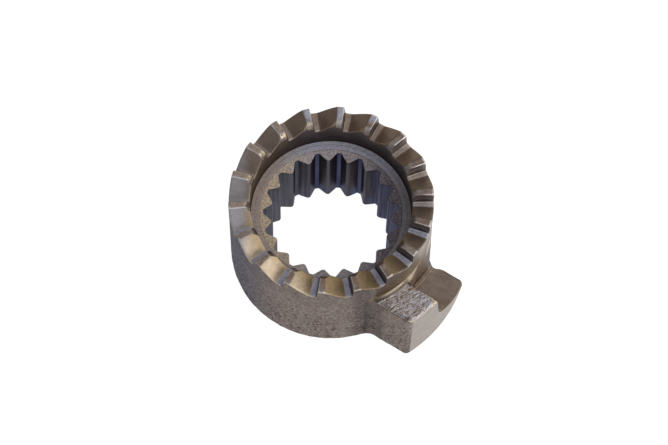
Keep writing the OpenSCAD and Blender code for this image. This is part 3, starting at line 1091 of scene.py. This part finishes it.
def spline_wall():
    """Dark broached walls with streaks along the bore, bluer at their lower ends."""
    paint = Paint("spline_walls", 1.0)
    paint.shader.inputs["Specular Tint"].default_value = (0.55, 0.54, 0.6, 1)
    streaks = paint.noise(2.0, 4, stretch=(1, 1, 22))
    base = paint.mix(paint.fade("Z", 5.0, 0.5), rgb(66, 62, 62), rgb(66, 70, 90))
    base = paint.mix(paint.step(paint.radius(), TIP_R + 0.16, TIP_R + 0.04), base, rgb(77, 75, 78))
    base = paint.mix(paint.step(paint.radius(), GROOVE_R - 0.22, GROOVE_R - 0.08), base, rgb(63, 66, 87))
    # Painted light and shade: lighter grey at the left, bluer at the right.
    base = paint.mix(paint.fade("X", -2.0, -8.0), base, rgb(82, 82, 87))
    base = paint.mix(paint.fade("X", 5.0, 10.0, 0.0, 0.8), base, rgb(66, 69, 88))
    base = paint.shade(base, paint.step(streaks, 0.3, 0.7, 0.7, 1.35))
    return paint.finish(base, 0.42, streaks, 0.02)


def bottom_face():
    """Ground bottom face."""
    paint = Paint("bottom_face", 1.0)
    lines = paint.noise(2.4, 4, stretch=(12, 1, 1), turn=20)
    base = paint.clouds(0.3, rgb(142, 134, 128), rgb(168, 162, 156))
    base = paint.shade(base, paint.step(lines, 0.3, 0.7, 0.84, 1.14))
    return paint.finish(base, 0.42, lines, 0.015)


MATERIALS = {
    "forged": forged_skin(),
    "block": forged_top(),
    "milled": milled_ramp(),
    "turned_end": turned_end(),
    "crest": tooth_crest(),
    "valley": tooth_valley(),
    "back": tooth_back(),
    "driving": tooth_driving(),
    "recess": recess_wall(),
    "floor": recess_floor(),
    "cone": lead_cone(),
    "spline": spline_wall(),
    "bottom": bottom_face(),
}


def make_gear():
    """The whole gear as one closed mesh, with its relief, and the masks for its wear and for painted shade
    in its hollows.
    """
    gear = make_object(ring_shell(), "gear_body", MATERIALS)
    arm = make_object(arm_shell(), "arm", MATERIALS)
    web = make_object(web_shell(), "web", MATERIALS)
    for piece in (gear, arm, web):
        face_out(piece)
    unite(gear, [arm, web])
    split_cut_faces(gear)
    mesh = gear.data
    mesh.shade_smooth()
    mesh.set_sharp_from_angle(angle=radians(38))
    edge, hollow = curvature(mesh)
    store(mesh, "edge", edge)
    store(mesh, "hollow", hollow)
    add_relief(mesh, MATERIALS)
    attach(gear, "root")
    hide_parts("ratchet_gear")


# Stage

def make_camera():
    """The photograph's own view: a long lens, looking down at the teeth."""
    elevation, roll = radians(65.8), radians(1.60)
    distance, aim = 474.6 * MM, Vector((0.58, 4.93, 0)) * MM
    image_width, focal_pixels, sensor = 668, 2600, 36
    forward = Vector((0, cos(elevation), -sin(elevation)))
    right = Vector((1, 0, 0))
    up = right.cross(forward)
    right, up = right * cos(roll) + up * sin(roll), up * cos(roll) - right * sin(roll)
    turn = Matrix((right, up, -forward)).transposed().to_4x4()
    camera = bpy.data.objects.new("camera", bpy.data.cameras.new("camera"))
    bpy.context.scene.collection.objects.link(camera)
    camera.matrix_world = Matrix.Translation(aim - forward * distance) @ turn
    camera.data.sensor_width = sensor
    camera.data.lens = sensor * focal_pixels / image_width
    camera.data.clip_start = 0.01
    bpy.context.scene.camera = camera


def make_floor():
    """A plain white table that glows a little, so that it stays white under the part."""
    half = 3.0
    mesh = bpy.data.meshes.new("floor")
    corners = [(-half, -half, 0), (half, -half, 0), (half, half, 0), (-half, half, 0)]
    mesh.from_pydata(corners, [], [(0, 1, 2, 3)])
    floor = bpy.data.objects.new("floor", mesh)
    bpy.context.scene.collection.objects.link(floor)
    paint = Paint("floor_paper", 0.0)
    paint.shader.inputs["Emission Color"].default_value = (1, 1, 1, 1)
    paint.shader.inputs["Emission Strength"].default_value = 0.97
    paper = paint.mix(paint.noise(0.02), (0.3, 0.3, 0.3, 1), (0.33, 0.33, 0.33, 1))
    mesh.materials.append(paint.finish(paper, 0.9))


def add_light(name, direction, distance, size, power, colour):
    """A square soft light that faces the part from that direction."""
    data = bpy.data.lights.new(name, "AREA")
    data.size = size
    data.energy = power
    data.color = colour
    light = bpy.data.objects.new(name, data)
    bpy.context.scene.collection.objects.link(light)
    light.location = Vector(direction).normalized() * distance
    light.rotation_euler = Vector(direction).to_track_quat("Z", "Y").to_euler()


# Glow of the studio: direction, cosines where it starts and is full, and colour
GLOWS = [
    ((0.80, -0.25, 0.55), (-0.25, 0.75), (0.37, 0.35, 0.33)),
    ((0.66, -0.44, 0.61), (0.80, 0.99), (0.42, 0.45, 0.56)),
    ((0.10, 0.50, 0.86), (0.55, 0.98), (0.10, 0.10, 0.11)),
]
DIM = (0.15, 0.15, 0.165)


def make_world():
    """Dim studio that is brighter and warmer towards the front right."""
    world = bpy.data.worlds.new("studio")
    world.use_nodes = True
    graph = Graph(world.node_tree)
    direction = graph.node("TexCoord").outputs["Generated"]
    total = DIM
    for towards, (start, full), colour in GLOWS:
        share = graph.step(graph.vector("DOT_PRODUCT", direction, Vector(towards).normalized()), start, full)
        total = graph.vector("MULTIPLY_ADD", share, colour, total)
    graph.put(graph.tree.nodes["Background"].inputs["Color"], total)
    bpy.context.scene.world = world


make_gear()
make_camera()
make_floor()
make_world()
add_light("key", (0.75, -0.34, 0.59), distance=0.6, size=0.25, power=0.4, colour=(1.0, 0.98, 0.95))
bpy.context.scene.view_settings.view_transform = "Standard"
